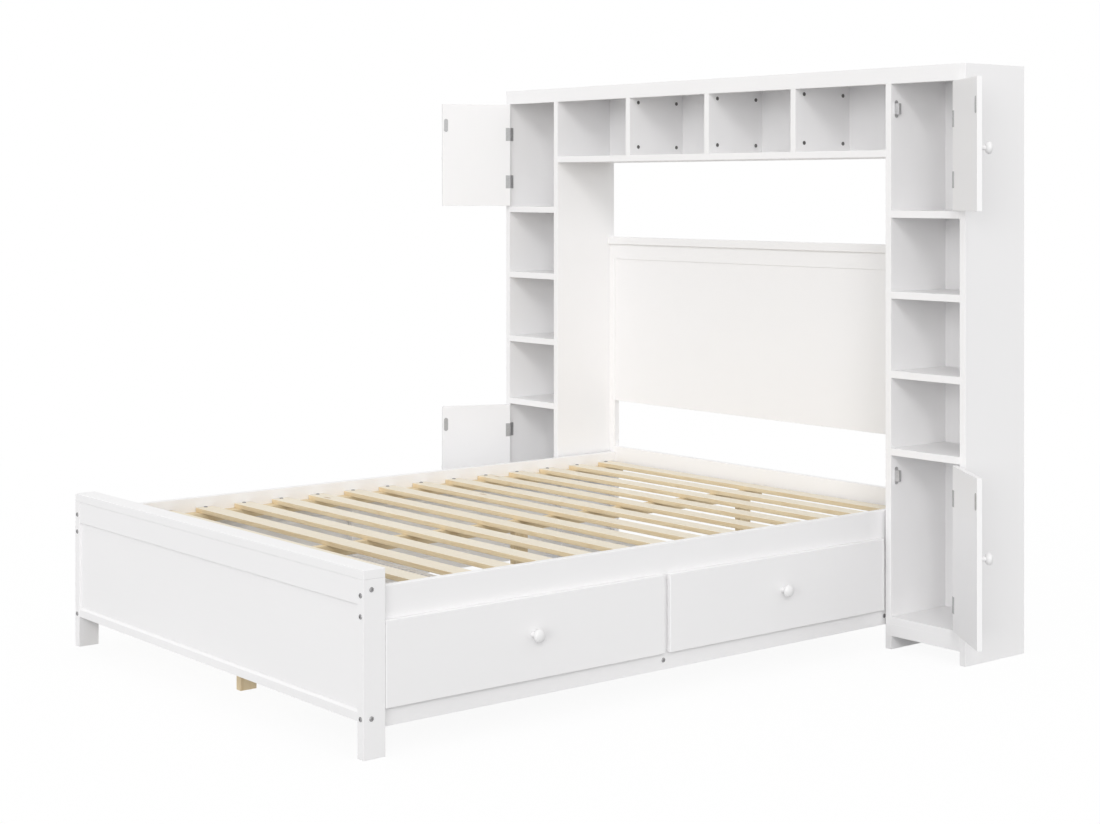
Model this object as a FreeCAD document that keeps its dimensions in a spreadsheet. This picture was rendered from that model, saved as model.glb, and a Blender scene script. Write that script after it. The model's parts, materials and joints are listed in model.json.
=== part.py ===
import FreeCAD, Part
import os
import Sketcher

# Storage bed: a slatted frame with two drawers on its right side, and a storage unit round its head end.
# Millimetres. X runs across the bed to the drawer side, Y from the foot to the head, Z up.
# The origin is the centre of the middle support leg's foot, on the floor.

# Driving dimensions, one cell each.
SIZES = {
    # Bed frame, measured from the footboard's front face
    "middle_leg_from_front": 1110,
    "frame_inner_length": 2101,
    "frame_half_width": 785,
    "side_rail_thick": 22,
    "upper_rail_bottom": 318,
    "upper_rail_top": 420,
    "lower_rail_bottom": 70,
    "lower_rail_top": 125,
    "stile_width": 30,
    "edge_ease": 0.8,
    "shown_edge_ease": 1.6,
    # Footboard
    "post_outset": 14.3,
    "footboard_height": 468,
    "footboard_depth": 64.5,
    "post_width": 28,
    "foot_cap_height": 24.3,
    "foot_rail_depth": 45,
    "foot_rail_inset": 1.5,
    "foot_top_rail_height": 63.2,
    "foot_panel_inset": 7,
    "foot_panel_thick": 18,
    "foot_bottom_rail_bottom": 91.6,
    "foot_bottom_rail_height": 29.9,
    "foot_bottom_rail_bevel": 8,
    # Slats and what carries them
    "ledger_width": 44,
    "ledger_height": 28,
    "slat_drop": 45.2,
    "slat_thick": 14,
    "slat_width": 60,
    "slat_end_gap": 1.5,
    "first_slat_centre": 81.4,
    "last_slat_centre": 56.1,
    "slat_edge_ease": 1.5,
    "slat_screw_in": 10,
    "screw_head_radius": 6.5,
    "screw_head_height": 2.5,
    "screw_shank_radius": 2,
    "screw_bite": 12,
    "beam_width": 22,
    "beam_height": 35,
    "leg_width": 23.4,
    "leg_depth": 51.4,
    "foot_leg_from_frame": 72.9,
    "head_leg_from_frame": 82.5,
    # Drawers and what they run on
    "drawer_post_gap": 1.5,
    "drawer_unit_gap": 10.2,
    "foot_front_lap": 8.9,
    "head_front_lap": 2.4,
    "drawer_front_thick": 15,
    "drawer_front_ease": 3,
    "drawer_front_low_lap": 8,
    "drawer_front_high_lap": 19,
    "drawer_knob_rise": 120,
    "box_foot_gap": 45.75,
    "box_unit_gap": 13.45,
    "box_depth": 480,
    "box_low_gap": 7,
    "box_high_gap": 18,
    "box_wall": 12,
    "box_floor_thick": 9,
    "box_side_clearance": 3.25,
    "cross_rail_thick": 22,
    "cross_rail_lift": 5,
    "cross_rail_height": 90,
    "runner_width": 20,
    "runner_height": 21.7,
    "runner_reach_back": 62,
    "running_clearance": 0.3,
    # Storage unit
    "unit_depth": 274.6,
    "unit_board": 22,
    "unit_side_gap": 10.1,
    "cabinet_clear_width": 265.6,
    "kick_bottom": 41.1,
    "floor_board_bottom": 77.8,
    "lower_door_bay": 492.5,
    "lower_open_bay": 214.1,
    "middle_open_bay": 220.2,
    "upper_open_bay": 224.8,
    "upper_door_bay": 387,
    "cubby_height": 201.4,
    "fascia_height": 50.1,
    "back_panel_thick": 6,
    "back_panel_inset": 15.3,
    # Caps over the dividers' fixings
    "cap_radius": 6.25,
    "cap_thick": 1.2,
    "cap_front_inset": 40.2,
    "cap_rear_inset": 222.5,
    "cap_below_top": 15.4,
    "cap_above_shelf": 29,
    # Headboard
    "headboard_depth": 21.3,
    "headboard_top": 1225.8,
    "ledge_height": 27.1,
    "ledge_overhang": 9,
    "head_top_rail_height": 55.2,
    "head_panel_bottom": 612.4,
    "head_panel_thick": 15,
    "head_panel_inset": 3,
    "head_lower_rail_top": 440.4,
    "head_lower_rail_height": 80.4,
    # Doors
    "door_thick": 15,
    "door_hinge_gap": 2.4,
    "door_free_gap": 2,
    "door_end_gap": 2.4,
    "pin_ahead": 3.2,
    "pin_radius": 1.5,
    "pin_clearance": 0.05,
    "barrel_radius": 3,
    "knuckle_gap": 0.2,
    "leaf_thick": 1,
    "leaf_height": 49,
    "leaf_width": 17,
    "leaf_barrel_clearance": 0.3,
    "leaf_screw_radius": 2.6,
    "leaf_screw_clearance": 0.1,
    "leaf_screw_rise": 0.5,
    "leaf_screw_spread": 15,
    # Knobs
    "knob_stem_foot_radius": 8.5,
    "knob_stem_top_radius": 6.5,
    "knob_head_radius": 17.6,
    "knob_head_half_height": 9.5,
    "knob_head_centre": 26.5,
    "door_knob_in": 22,
    # Magnetic catches and their strike plates
    "strike_width": 15,
    "strike_length": 49,
    "strike_thick": 1.2,
    "strike_in": 12.5,
    "catch_plate_length": 53.5,
    "catch_plate_thick": 1.5,
    "catch_block_width": 16,
    "catch_block_depth": 11,
    "catch_block_height": 34,
    "catch_clearance": 0.3,
    "catch_rise": 6,
    # Bolts
    "bolt_head_radius": 6.5,
    "bolt_head_height": 2,
    "bolt_shank_radius": 3.2,
    "bolt_shank_length": 16,
    "bolt_hole_clearance": 0.2,
    "bolt_socket_radius": 2.9,
    "bolt_socket_depth": 1.4,
    "front_bolt_upper_drop": 15.6,
    "front_bolt_middle_drop": 67.9,
    "front_bolt_lower_drop": 25.4,
    "side_bolt_upper_drop": 25.3,
    "side_bolt_lower_rise": 8.2,
    "side_bolt_from_front": 23.1,
    "rail_bolt_drop": 28.5,
}

# Angles in degrees and counts.
SIDES = (-1, 1)
LEFT_DOOR_ANGLE = 113
RIGHT_DOOR_ANGLE = 144.5
QUARTER_TURN = 90
SLAT_COUNT = 15
CUBBY_COUNT = 4
KNUCKLE_COUNT = 5
SOCKET_SIDE_COUNT = 6

# Heights of what a door carries, as shares of the bay behind it, from its floor.
UPPER_DOOR_HINGE_SHARES = (0.7041, 0.2403)
LOWER_DOOR_HINGE_SHARES = (0.8008, 0.163)
UPPER_DOOR_KNOB_SHARE = 0.4713
LOWER_DOOR_KNOB_SHARE = 0.5257
UPPER_DOOR_CATCH_SHARE = 0.7871
LOWER_DOOR_CATCH_SHARE = 0.8583

X_AXIS = FreeCAD.Vector(1, 0, 0)
Y_AXIS = FreeCAD.Vector(0, 1, 0)
Z_AXIS = FreeCAD.Vector(0, 0, 1)

doc = FreeCAD.newDocument("StorageBed")
sheet = doc.addObject("Spreadsheet::Sheet", "Sizes")
for row, (alias, length) in enumerate(SIZES.items(), start=1):
    cell = "A%d" % row
    sheet.set(cell, str(length))
    sheet.setAlias(cell, alias)
doc.recompute()


class Size:
    """A length worked out from the sheet: its expression and what that gives now."""

    def __init__(self, text, value):
        self.text = text
        self.value = value

    def __add__(self, other):
        return Size("(%s + %s)" % (self.text, other.text), self.value + other.value)

    def __sub__(self, other):
        return Size("(%s - %s)" % (self.text, other.text), self.value - other.value)

    def __neg__(self):
        return Size("(-%s)" % self.text, -self.value)

    def __mul__(self, factor):
        return Size("(%s * %s)" % (self.text, factor), self.value * factor)

    def __truediv__(self, factor):
        return Size("(%s / %s)" % (self.text, factor), self.value / factor)


class Sheet:
    """The sheet's cells as sizes, by alias."""

    def __getattr__(self, alias):
        return Size("Sizes." + alias, SIZES[alias])


size = Sheet()
ZERO = Size("0", 0)
nodes = []
body_corners = {}


def bind(piece, name, length):
    """Bind one property of an object to its size."""
    piece.setExpression(name, length.text)


def place(piece, x, y, z, turn=None):
    """Put an object at a bound place, turned about its own origin."""
    if turn is not None:
        piece.Placement = FreeCAD.Placement(FreeCAD.Vector(), turn)
    for axis, where in zip("xyz", (x, y, z)):
        bind(piece, "Placement.Base." + axis, where)


def node(name, *members):
    """Name a finished sub-part; several solids, or one that is turned as a whole, go into a compound."""
    piece = members[0]
    if len(members) > 1 or piece.TypeId != "PartDesign::Body":
        piece = doc.addObject("Part::Compound", name)
        piece.Links = list(members)
    piece.Label = name
    nodes.append(piece)
    return piece


def origin_part(body, role):
    """One of a body's own origin planes or axes."""
    return [feature for feature in body.Origin.OriginFeatures if feature.Role == role][0]


def outline(body, plane, corners):
    """A closed outline of straight edges, each corner dimensioned from the body's origin."""
    drawing = body.newObject("Sketcher::SketchObject", "outline")
    drawing.AttachmentSupport = (origin_part(body, plane), [""])
    drawing.MapMode = "FlatFace"
    spots = [FreeCAD.Vector(across.value, up.value, 0) for across, up in corners]
    for start, end in zip(spots, spots[1:] + spots[:1]):
        drawing.addGeometry(Part.LineSegment(start, end), False)
    origin_point, line_start, line_end = 1, 1, 2
    horizontal_axis, vertical_axis = -1, -2
    for index, (across, up) in enumerate(corners):
        following = (index + 1) % len(corners)
        drawing.addConstraint(Sketcher.Constraint("Coincident", index, line_end, following, line_start))
        for kind, length, axis in (("DistanceX", across, vertical_axis), ("DistanceY", up, horizontal_axis)):
            if length is ZERO:
                drawing.addConstraint(Sketcher.Constraint("PointOnObject", index, line_start, axis))
                continue
            rule = Sketcher.Constraint(kind, horizontal_axis, origin_point, index, line_start, length.value)
            number = drawing.addConstraint(rule)
            drawing.setExpression("Constraints[%d]" % number, length.text)
    return drawing


def padded(name, plane, corners, length, ease=None):
    """A body made of one outline and its thickness, with its edges eased if a radius is given."""
    body = doc.addObject("PartDesign::Body", name)
    pad = body.newObject("PartDesign::Pad", "thickness")
    pad.Profile = outline(body, plane, corners)
    bind(pad, "Length", length)
    body.Tip = pad
    if ease is not None:
        doc.recompute()
        fillet = body.newObject("PartDesign::Fillet", "ease")
        fillet.Base = (pad, [""])
        fillet.UseAllEdges = True
        bind(fillet, "Radius", ease)
    return body


def board(name, across, along, up, ease=size.edge_ease):
    """A square-cut board between two faces on each axis; its own origin is its low corner."""
    width = across[1] - across[0]
    depth = along[1] - along[0]
    corners = [(ZERO, ZERO), (width, ZERO), (width, depth), (ZERO, depth)]
    body = padded(name, "XY_Plane", corners, up[1] - up[0], ease)
    place(body, across[0], along[0], up[0])
    body_corners[body.Name] = (across[0], along[0], up[0])
    return body


def primitive(body, kind, lengths, where, turn=None):
    """Add a primitive feature to a body, or cut one from it, in the body's own frame."""
    feature = body.newObject("PartDesign::" + kind, kind)
    for name, length in lengths.items():
        bind(feature, name, length)
    place(feature, *where, turn=turn)
    return feature


def drill(body, radius, depth, where, turn=None):
    """Drill a hole that starts at a place of the whole model."""
    corner = body_corners[body.Name]
    start = [spot - low for spot, low in zip(where, corner)]
    return primitive(body, "SubtractiveCylinder", {"Radius": radius, "Height": depth}, start, turn)


def copy(piece, name, x, y, z, turn=None):
    """Another piece like one that is drawn already."""
    link = doc.addObject("App::Link", name)
    link.LinkedObject = piece
    place(link, x, y, z, turn)
    return link


def about(centre, width):
    """The two faces of something that is centred on a place."""
    return centre - width / 2, centre + width / 2


def sided(side, inner, outer):
    """The two faces, low then high, of something on the left (-1) or the right (1) of the centre plane."""
    if side > 0:
        return inner, outer
    return -outer, -inner


# Places worked out from the driving dimensions.
foot_front = -size.middle_leg_from_front
frame_foot = foot_front + size.footboard_depth
frame_head = frame_foot + size.frame_inner_length
unit_back = frame_head + size.headboard_depth
unit_front = unit_back - size.unit_depth
rail_inner = size.frame_half_width - size.side_rail_thick
slat_bottom = size.upper_rail_top - size.slat_drop
slat_top = slat_bottom + size.slat_thick
bay_half_width = size.frame_half_width + size.unit_side_gap
inner_face = bay_half_width + size.unit_board
outer_face = inner_face + size.cabinet_clear_width
unit_half_width = outer_face + size.unit_board
SIDE_NAMES = {-1: "left", 1: "right"}
FACING_FRONT = FreeCAD.Rotation(X_AXIS, QUARTER_TURN)
FACING_HEAD = FreeCAD.Rotation(X_AXIS, -QUARTER_TURN)
FACING_OUT = {side: FreeCAD.Rotation(Y_AXIS, side * QUARTER_TURN) for side in SIDES}

# Footboard: two posts, a cap, and two rails with a panel between them.
post_top = size.footboard_height - size.foot_cap_height
post_outer = size.frame_half_width + size.post_outset
post_inner = post_outer - size.post_width
post_centre = post_outer - size.post_width / 2
front_bolt_heights = (size.upper_rail_top - size.front_bolt_upper_drop,
                      size.upper_rail_top - size.front_bolt_middle_drop,
                      size.lower_rail_top - size.front_bolt_lower_drop)
side_bolt_heights = (post_top - size.side_bolt_upper_drop,
                     size.foot_bottom_rail_bottom + size.side_bolt_lower_rise)
side_bolt_along = foot_front + size.side_bolt_from_front
rail_bolt_height = size.lower_rail_top - size.rail_bolt_drop
bolt_hole_radius = size.bolt_shank_radius + size.bolt_hole_clearance
bolt_hole_depth = size.bolt_shank_length + size.bolt_hole_clearance


def footboard_post(side):
    """A footboard post with the holes for its front and side bolts."""
    across = sided(side, post_inner, post_outer)
    post = board("footboard_post", across, (foot_front, frame_foot), (ZERO, post_top))
    for height in front_bolt_heights:
        where = (post_centre * side, foot_front, height)
        drill(post, bolt_hole_radius, bolt_hole_depth, where, FACING_HEAD)
    for height in side_bolt_heights:
        where = (post_outer * side, side_bolt_along, height)
        drill(post, bolt_hole_radius, bolt_hole_depth, where, FACING_OUT[-side])
    return post


foot_rail_front = foot_front + size.foot_rail_inset
foot_rail_back = foot_rail_front + size.foot_rail_depth
foot_rail_span = (-post_inner, post_inner)
foot_top_rail_bottom = post_top - size.foot_top_rail_height
foot_bottom_rail_top = size.foot_bottom_rail_bottom + size.foot_bottom_rail_height
foot_panel_front = foot_front + size.foot_panel_inset

node("footboard_posts", *[footboard_post(side) for side in SIDES])
node("footboard_cap", board("footboard_cap", (-post_outer, post_outer),
                            (foot_front, frame_foot), (post_top, size.footboard_height),
                            size.shown_edge_ease))
node("footboard_top_rail", board("footboard_top_rail", foot_rail_span, (foot_rail_front, foot_rail_back),
                                 (foot_top_rail_bottom, post_top)))
node("footboard_panel", board("footboard_panel", foot_rail_span,
                              (foot_panel_front, foot_panel_front + size.foot_panel_thick),
                              (foot_bottom_rail_top, foot_top_rail_bottom)))


def footboard_bottom_rail():
    """The bottom rail, with its upper front edge bevelled down from the panel."""
    bevel = size.foot_bottom_rail_bevel
    profile = [(ZERO, ZERO), (size.foot_rail_depth, ZERO),
               (size.foot_rail_depth, size.foot_bottom_rail_height),
               (bevel, size.foot_bottom_rail_height),
               (ZERO, size.foot_bottom_rail_height - bevel)]
    rail = padded("footboard_bottom_rail", "YZ_Plane", profile, post_inner * 2, size.edge_ease)
    place(rail, -post_inner, foot_rail_front, size.foot_bottom_rail_bottom)
    return rail


node("footboard_bottom_rail", footboard_bottom_rail())

# Side frame: upper and lower rails and two stiles between them on each side, and the left side's panel.
rail_length = (frame_foot, frame_head)
boxes_span = (frame_foot + size.box_foot_gap, unit_front - size.box_unit_gap)
stile_centre = (boxes_span[0] + boxes_span[1]) / 2
stile_faces = about(stile_centre, size.stile_width)
foot_box = (boxes_span[0], stile_faces[0] - size.box_side_clearance)
head_box = (stile_faces[1] + size.box_side_clearance, boxes_span[1])
cross_rail_reach = size.stile_width / 2 + size.box_side_clearance
runner_gap = cross_rail_reach - size.cross_rail_thick / 2
foot_cross_rail = (foot_box[0] - runner_gap - size.cross_rail_thick, foot_box[0] - runner_gap)
head_cross_rail = (head_box[1] + runner_gap, head_box[1] + runner_gap + size.cross_rail_thick)
head_cross_centre = head_cross_rail[0] + size.cross_rail_thick / 2
head_stile_faces = about(head_cross_centre, size.stile_width)
rail_bolt_places = (stile_centre, head_cross_centre)
drawer_front_back = size.frame_half_width + size.running_clearance
drawer_front_face = drawer_front_back + size.drawer_front_thick
drawer_front_span = (size.lower_rail_top - size.drawer_front_low_lap,
                     size.upper_rail_bottom + size.drawer_front_high_lap)
foot_front_span = (frame_foot + size.drawer_post_gap, stile_faces[0] + size.foot_front_lap)
head_front_span = (stile_faces[1] - size.head_front_lap, unit_front - size.drawer_unit_gap)
box_faces = (size.lower_rail_top + size.box_low_gap, size.upper_rail_bottom - size.box_high_gap)


def lower_side_rail(side):
    """A lower side rail with the holes for the bolts of two cross rails."""
    across = sided(side, rail_inner, size.frame_half_width)
    rail = board("lower_side_rail", across, rail_length, (size.lower_rail_bottom, size.lower_rail_top))
    for along in rail_bolt_places:
        where = (size.frame_half_width * side, along, rail_bolt_height)
        drill(rail, bolt_hole_radius, bolt_hole_depth, where, FACING_OUT[-side])
    return rail


node("upper_side_rails", *[board("upper_side_rail", sided(side, rail_inner, size.frame_half_width),
                                 rail_length, (size.upper_rail_bottom, size.upper_rail_top),
                                 size.shown_edge_ease) for side in SIDES])
node("lower_side_rails", *[lower_side_rail(side) for side in SIDES])
node("side_stiles", *[board("side_stile", sided(side, rail_inner, size.frame_half_width),
                            faces, (size.lower_rail_top, size.upper_rail_bottom))
                      for side in SIDES for faces in (stile_faces, head_stile_faces)])
node("left_side_panel", board("left_side_panel", (-drawer_front_face, -size.frame_half_width),
                              (foot_front_span[0], head_front_span[1]), drawer_front_span,
                              size.shown_edge_ease))

# Slats, the ledgers and beam under them, their screws and the support legs.
slat_span = size.frame_inner_length - size.first_slat_centre - size.last_slat_centre
slat_pitch = slat_span / (SLAT_COUNT - 1)
slat_places = [frame_foot + size.first_slat_centre + slat_pitch * index for index in range(SLAT_COUNT)]
slat_half_length = rail_inner - size.slat_end_gap
slat_ends = (-slat_half_length, slat_half_length)
screw_across = {side: (slat_half_length - size.slat_screw_in) * side for side in SIDES}
screw_hole_radius = size.screw_shank_radius + size.bolt_hole_clearance


def ledger(side):
    """A ledger on an upper side rail's inner face, with one screw hole per slat."""
    strip = board("slat_ledger", sided(side, rail_inner - size.ledger_width, rail_inner), rail_length,
                  (slat_bottom - size.ledger_height, slat_bottom))
    bottom = slat_bottom - size.screw_bite - size.bolt_hole_clearance
    hole = drill(strip, screw_hole_radius, size.slat_thick, (screw_across[side], slat_places[0], bottom))
    doc.recompute()
    pattern = strip.newObject("PartDesign::LinearPattern", "slat_holes")
    pattern.Originals = [hole]
    pattern.Direction = (origin_part(strip, "Y_Axis"), [""])
    bind(pattern, "Length", slat_span)
    pattern.Occurrences = SLAT_COUNT
    strip.Tip = pattern
    return strip


def slat_row():
    """The slats, each with two screw holes."""
    first = board("slat", slat_ends, about(slat_places[0], size.slat_width), (slat_bottom, slat_top),
                  size.slat_edge_ease)
    for across in screw_across.values():
        drill(first, screw_hole_radius, size.slat_thick, (across, slat_places[0], slat_bottom))
    others = [copy(first, "slat_copy", slat_ends[0], along - size.slat_width / 2, slat_bottom)
              for along in slat_places[1:]]
    return [first] + others


def slat_screw():
    """A round-headed wood screw that stands on its tip."""
    screw = doc.addObject("PartDesign::Body", "slat_screw")
    length = size.slat_thick + size.screw_bite
    head = {"Radius": size.screw_head_radius, "Height": size.screw_head_height}
    primitive(screw, "AdditiveCylinder", {"Radius": size.screw_shank_radius, "Height": length},
              (ZERO, ZERO, ZERO))
    primitive(screw, "AdditiveCylinder", head, (ZERO, ZERO, length))
    return screw


def slat_screws():
    """Two screws through each slat, into the ledgers."""
    first = slat_screw()
    tip = slat_bottom - size.screw_bite
    places = [(across, along) for along in slat_places for across in screw_across.values()]
    place(first, places[0][0], places[0][1], tip)
    return [first] + [copy(first, "slat_screw_copy", across, along, tip) for across, along in places[1:]]


beam_bottom = slat_bottom - size.beam_height
node("slat_ledgers", *[ledger(side) for side in SIDES])
node("centre_beam", board("centre_beam", about(ZERO, size.beam_width), rail_length,
                          (beam_bottom, slat_bottom)))
node("slats", *slat_row())
node("slat_screws", *slat_screws())


def support_leg(name, centre):
    """A leg between the floor and the beam."""
    return board(name, about(ZERO, size.leg_width), about(centre, size.leg_depth), (ZERO, beam_bottom))


node("centre_leg", support_leg("centre_leg", ZERO))
node("end_legs", support_leg("foot_leg", frame_foot + size.foot_leg_from_frame),
     support_leg("head_leg", frame_head - size.head_leg_from_frame))

# Cross rails under the drawers, and the runner strips on their faces.
cross_rail_bottom = size.lower_rail_bottom + size.cross_rail_lift
cross_rail_top = cross_rail_bottom + size.cross_rail_height
cross_rail_faces = (foot_cross_rail, about(stile_centre, size.cross_rail_thick), head_cross_rail)
node("cross_rails", *[board("cross_rail", (-rail_inner, rail_inner), faces,
                            (cross_rail_bottom, cross_rail_top)) for faces in cross_rail_faces])
runner_top = box_faces[0] - size.running_clearance
runner_start = drawer_front_back - size.box_depth - size.runner_reach_back
runner_faces = ((foot_cross_rail[1], foot_cross_rail[1] + size.runner_width),
                (cross_rail_faces[1][0] - size.runner_width, cross_rail_faces[1][0]),
                (cross_rail_faces[1][1], cross_rail_faces[1][1] + size.runner_width),
                (head_cross_rail[0] - size.runner_width, head_cross_rail[0]))
node("drawer_runners", *[board("drawer_runner", (runner_start, rail_inner), faces,
                               (runner_top - size.runner_height, runner_top)) for faces in runner_faces])


# Knobs: a tapered stem under a flattened round head, drawn standing on its foot.
def knob(name):
    """A turned mushroom knob."""
    body = doc.addObject("PartDesign::Body", name)
    stem = {"Radius1": size.knob_stem_foot_radius, "Radius2": size.knob_stem_top_radius,
            "Height": size.knob_head_centre}
    head = {"Radius1": size.knob_head_half_height, "Radius2": size.knob_head_radius,
            "Radius3": size.knob_head_radius}
    primitive(body, "AdditiveCone", stem, (ZERO, ZERO, ZERO))
    primitive(body, "AdditiveEllipsoid", head, (ZERO, ZERO, size.knob_head_centre))
    return body


# Drawers on the right side: an overlay front, its knob, and a box of four walls and a floor.
def drawer(name, front_span, box_span):
    """One drawer with its front's and its box's span along the bed."""
    box_back = drawer_front_back - size.box_depth
    inner_span = (box_span[0] + size.box_wall, box_span[1] - size.box_wall)
    front = board(name + "_front", (drawer_front_back, drawer_front_face), front_span, drawer_front_span,
                  size.drawer_front_ease)
    handle = knob(name + "_knob")
    place(handle, drawer_front_face, (front_span[0] + front_span[1]) / 2,
          drawer_front_span[0] + size.drawer_knob_rise, FACING_OUT[1])
    depth_span = (box_back, drawer_front_back)
    floor_span = (box_back + size.box_wall, drawer_front_back - size.box_wall)
    walls = [board("box_side", depth_span, (box_span[0], inner_span[0]), box_faces),
             board("box_side", depth_span, (inner_span[1], box_span[1]), box_faces),
             board("box_back", (depth_span[0], floor_span[0]), inner_span, box_faces),
             board("box_front", (floor_span[1], depth_span[1]), inner_span, box_faces),
             board("box_floor", floor_span, inner_span,
                   (box_faces[0], box_faces[0] + size.box_floor_thick))]
    node(name + "_front", front)
    node(name + "_knob", handle)
    node(name + "_box", *walls)


drawer("foot_drawer", foot_front_span, foot_box)
drawer("head_drawer", head_front_span, head_box)

# Headboard: two posts, a ledge on top, two rails, and a panel under the top rail.
head_post_top = size.headboard_top - size.ledge_height
head_post_inner = bay_half_width - size.post_width
head_span = (-head_post_inner, head_post_inner)
head_faces = (frame_head, unit_back)
head_top_rail_bottom = head_post_top - size.head_top_rail_height
head_panel_front = frame_head + size.head_panel_inset
head_lower_rail_bottom = size.head_lower_rail_top - size.head_lower_rail_height

node("headboard_posts", *[board("headboard_post", sided(side, head_post_inner, bay_half_width),
                                head_faces, (ZERO, head_post_top)) for side in SIDES])
node("headboard_ledge", board("headboard_ledge", (-bay_half_width, bay_half_width),
                              (frame_head - size.ledge_overhang, unit_back),
                              (head_post_top, size.headboard_top), size.shown_edge_ease))
node("headboard_top_rail", board("headboard_top_rail", head_span, head_faces,
                                 (head_top_rail_bottom, head_post_top)))
node("headboard_panel", board("headboard_panel", head_span,
                              (head_panel_front, head_panel_front + size.head_panel_thick),
                              (size.head_panel_bottom, head_top_rail_bottom)))
node("headboard_lower_rail", board("headboard_lower_rail", head_span, head_faces,
                                   (head_lower_rail_bottom, size.head_lower_rail_top)))

# Storage unit: a cabinet of five bays on each side.
unit_faces = (unit_front, unit_back)
back_panel_front = unit_back - size.back_panel_inset - size.back_panel_thick
back_panel_faces = (back_panel_front, back_panel_front + size.back_panel_thick)
shelf_faces = (unit_front, back_panel_front)
lower_door_floor = size.floor_board_bottom + size.unit_board
lower_door_shelf = lower_door_floor + size.lower_door_bay
lower_open_shelf = lower_door_shelf + size.unit_board + size.lower_open_bay
middle_open_shelf = lower_open_shelf + size.unit_board + size.middle_open_bay
upper_open_shelf = middle_open_shelf + size.unit_board + size.upper_open_bay
upper_door_floor = upper_open_shelf + size.unit_board
fascia_bottom = upper_door_floor + size.upper_door_bay
unit_height = fascia_bottom + size.fascia_height
ceiling = unit_height - size.unit_board
shelf_bottoms = (size.floor_board_bottom, lower_door_shelf, lower_open_shelf, middle_open_shelf,
                 upper_open_shelf)
cabinet_span = {side: sided(side, inner_face, outer_face) for side in SIDES}


def under_fascia(name, across, along, bottom):
    """An upright board up to the ceiling, notched at its front for the fascia."""
    upright = board(name, across, along, (bottom, ceiling))
    notch = {"Length": size.unit_board, "Width": size.unit_board, "Height": ceiling - fascia_bottom}
    primitive(upright, "SubtractiveBox", notch, (ZERO, ZERO, fascia_bottom - bottom))
    return upright


for side, side_name in SIDE_NAMES.items():
    outer = sided(side, outer_face, unit_half_width)
    inner = sided(side, bay_half_width, inner_face)
    node(side_name + "_outer_side", board(side_name + "_outer_side", outer, unit_faces,
                                          (ZERO, unit_height)))
    node(side_name + "_inner_side", under_fascia(side_name + "_inner_side", inner, unit_faces, ZERO))
    node(side_name + "_shelves", *[board("cabinet_shelf", cabinet_span[side], shelf_faces,
                                         (bottom, bottom + size.unit_board)) for bottom in shelf_bottoms])
node("kick_boards", *[board("kick_board", cabinet_span[side], (unit_front, unit_front + size.unit_board),
                            (size.kick_bottom, size.floor_board_bottom)) for side in SIDES])
node("cabinet_backs", *[board("cabinet_back", cabinet_span[side], back_panel_faces,
                              (size.floor_board_bottom, ceiling)) for side in SIDES])

# Storage unit: the bridge over the bed, with its top, fascia, shelf, back and dividers.
bridge_shelf_top = fascia_bottom - size.cubby_height
bridge_shelf_bottom = bridge_shelf_top - size.unit_board
bay_span = (-bay_half_width, bay_half_width)
cubby_width = (bay_half_width * 2 - size.unit_board * (CUBBY_COUNT - 1)) / CUBBY_COUNT
divider_lefts = [-bay_half_width + cubby_width * index + size.unit_board * (index - 1)
                 for index in range(1, CUBBY_COUNT)]
node("top_board", board("top_board", (-outer_face, outer_face), (unit_front + size.unit_board, unit_back),
                        (ceiling, unit_height)))
node("top_fascia", board("top_fascia", (-outer_face, outer_face), (unit_front, unit_front + size.unit_board),
                         (fascia_bottom, unit_height)))
node("bridge_shelf", board("bridge_shelf", bay_span, shelf_faces,
                           (bridge_shelf_bottom, bridge_shelf_top)))
node("bridge_back", board("bridge_back", bay_span, back_panel_faces,
                          (bridge_shelf_bottom, ceiling)))
node("bridge_dividers", *[under_fascia("bridge_divider", (left, left + size.unit_board), shelf_faces,
                                       bridge_shelf_top) for left in divider_lefts])


def divider_caps():
    """Four round caps on the right face of each divider."""
    first = doc.addObject("PartDesign::Body", "divider_cap")
    disc = {"Radius": size.cap_radius, "Height": size.cap_thick}
    primitive(first, "AdditiveCylinder", disc, (ZERO, ZERO, ZERO))
    heights = (fascia_bottom - size.cap_below_top, bridge_shelf_top + size.cap_above_shelf)
    places = [(left + size.unit_board, unit_front + inset, height) for left in divider_lefts
              for inset in (size.cap_front_inset, size.cap_rear_inset) for height in heights]
    place(first, *places[0], turn=FACING_OUT[1])
    return [first] + [copy(first, "divider_cap_copy", *where, turn=FACING_OUT[1]) for where in places[1:]]


node("divider_caps", *divider_caps())

# Doors, drawn shut about their pin: u runs from the pin to the free edge, and the outer face is at pin_ahead.
pin_across = outer_face - size.door_hinge_gap / 2
pin_along = unit_front - size.pin_ahead
door_near = size.door_hinge_gap / 2
door_far = pin_across - inner_face - size.door_free_gap
door_back = size.pin_ahead + size.door_thick
leaf_start = size.pin_ahead + size.leaf_barrel_clearance
leaf_inner = door_near - size.leaf_thick
bore_radius = size.pin_radius + size.pin_clearance
knuckle_pitch = size.leaf_height / KNUCKLE_COUNT
knuckle_height = knuckle_pitch - size.knuckle_gap


def up_bay(bay, share):
    """A height at a share of the way up a bay."""
    return bay[0] + (bay[1] - bay[0]) * share


def mirrored(side, near, far):
    """Two distances from the pin towards a door's free edge, as low and high X."""
    return sided(-side, near, far)


def oval_plate(name, width, length, thick):
    """A flat plate with round ends, lying on its back and centred on its origin."""
    body = doc.addObject("PartDesign::Body", name)
    straight = length - width
    block = {"Length": width, "Width": straight, "Height": thick}
    primitive(body, "AdditiveBox", block, (-width / 2, -straight / 2, ZERO))
    for end in SIDES:
        disc = {"Radius": width / 2, "Height": thick}
        primitive(body, "AdditiveCylinder", disc, (ZERO, straight / 2 * end, ZERO))
    return body


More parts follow.
